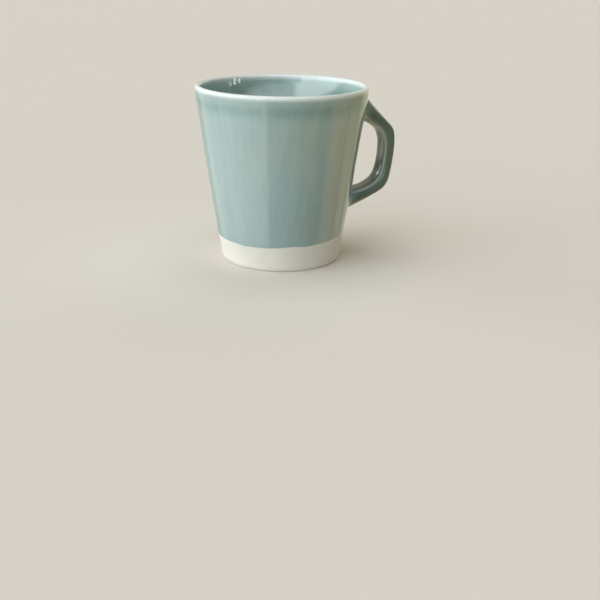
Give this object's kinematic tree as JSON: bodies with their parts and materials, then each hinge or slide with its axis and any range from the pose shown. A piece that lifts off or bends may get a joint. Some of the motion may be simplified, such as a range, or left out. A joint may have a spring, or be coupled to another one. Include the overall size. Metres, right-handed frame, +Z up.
{
  "type": "teacup",
  "caption": "Tapered porcelain teacup with a strap handle, celadon glazed inside and out above a bare foot band.",
  "frame": {"origin": "centre of the flat underside that the cup stands on, on the cup's axis", "axes": "+Z up along the cup's axis, +X from the axis out towards the handle"},
  "size_m": [0.1044, 0.0874, 0.089],
  "materials": {
    "bare_porcelain": "matt, unglazed",
    "handle_celadon": "glossy glaze",
    "outer_celadon": "glossy glaze",
    "inner_celadon": "glossy glaze"
  },
  "bodies": {
    "root": {"cup_body": "bare_porcelain", "handle": "handle_celadon", "outer_glaze": "outer_celadon", "inner_glaze": "inner_celadon"}
  },
  "joints": []
}
